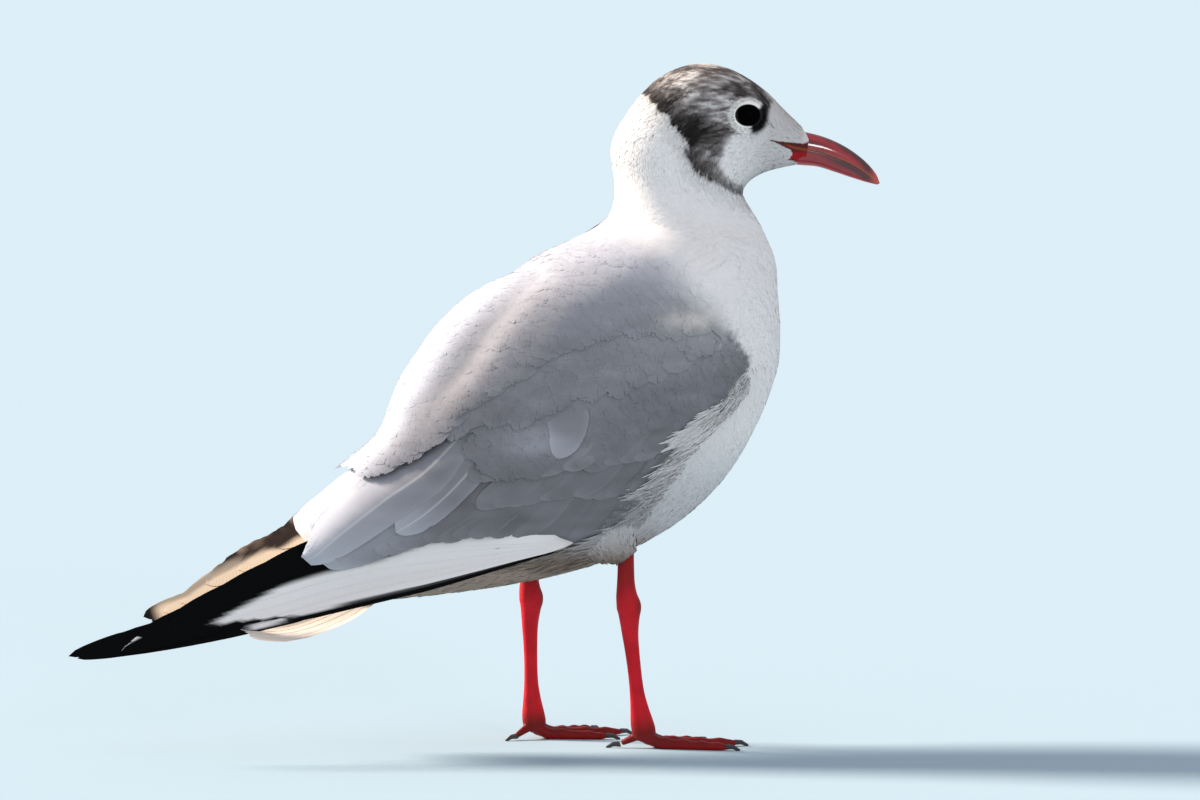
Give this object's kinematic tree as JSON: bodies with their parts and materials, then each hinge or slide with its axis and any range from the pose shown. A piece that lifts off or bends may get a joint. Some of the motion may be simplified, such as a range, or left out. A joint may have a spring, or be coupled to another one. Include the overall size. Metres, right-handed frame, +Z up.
{
  "type": "black-headed gull",
  "caption": "Life-size still model of a standing gull with folded wings, a slim curved bill and webbed feet on the floor.",
  "frame": {"origin": "on the floor, under the middle of the bird's bounding box", "axes": "+X towards the bill, along the bird; +Y to the bird's left; +Z up from the floor"},
  "size_m": [0.3086, 0.0946, 0.2551],
  "materials": {
    "feathers_white": "soft white feathers",
    "feathers_grey": "pale blue-grey feathers",
    "feathers_head": "white feathers mottled with brown-black",
    "feathers_primaries": "white feathers with black tips",
    "bill": "glossy dark red horn",
    "leg_skin": "red scaled skin",
    "claw": "black horn",
    "eye": "wet dark brown"
  },
  "bodies": {
    "root": {"head": "feathers_head", "neck": "feathers_white", "trunk": "feathers_white", "tail": "feathers_white", "leg_left_thigh": "feathers_white", "scapulars_left": "feathers_grey", "wing_left_coverts": "feathers_grey", "wing_left_tertials": "feathers_grey", "wing_left_primaries": "feathers_primaries", "leg_left_shank": "leg_skin", "foot_left": "leg_skin", "eye_left": "eye", "claw_left_inner": "claw", "claw_left_middle": "claw", "claw_left_outer": "claw", "claw_left_hind": "claw", "leg_right_thigh": "feathers_white", "scapulars_right": "feathers_grey", "wing_right_coverts": "feathers_grey", "wing_right_tertials": "feathers_grey", "wing_right_primaries": "feathers_primaries", "leg_right_shank": "leg_skin", "foot_right": "leg_skin", "eye_right": "eye", "claw_right_inner": "claw", "claw_right_middle": "claw", "claw_right_outer": "claw", "claw_right_hind": "claw", "bill_upper": "bill", "bill_lower": "bill"}
  },
  "joints": []
}
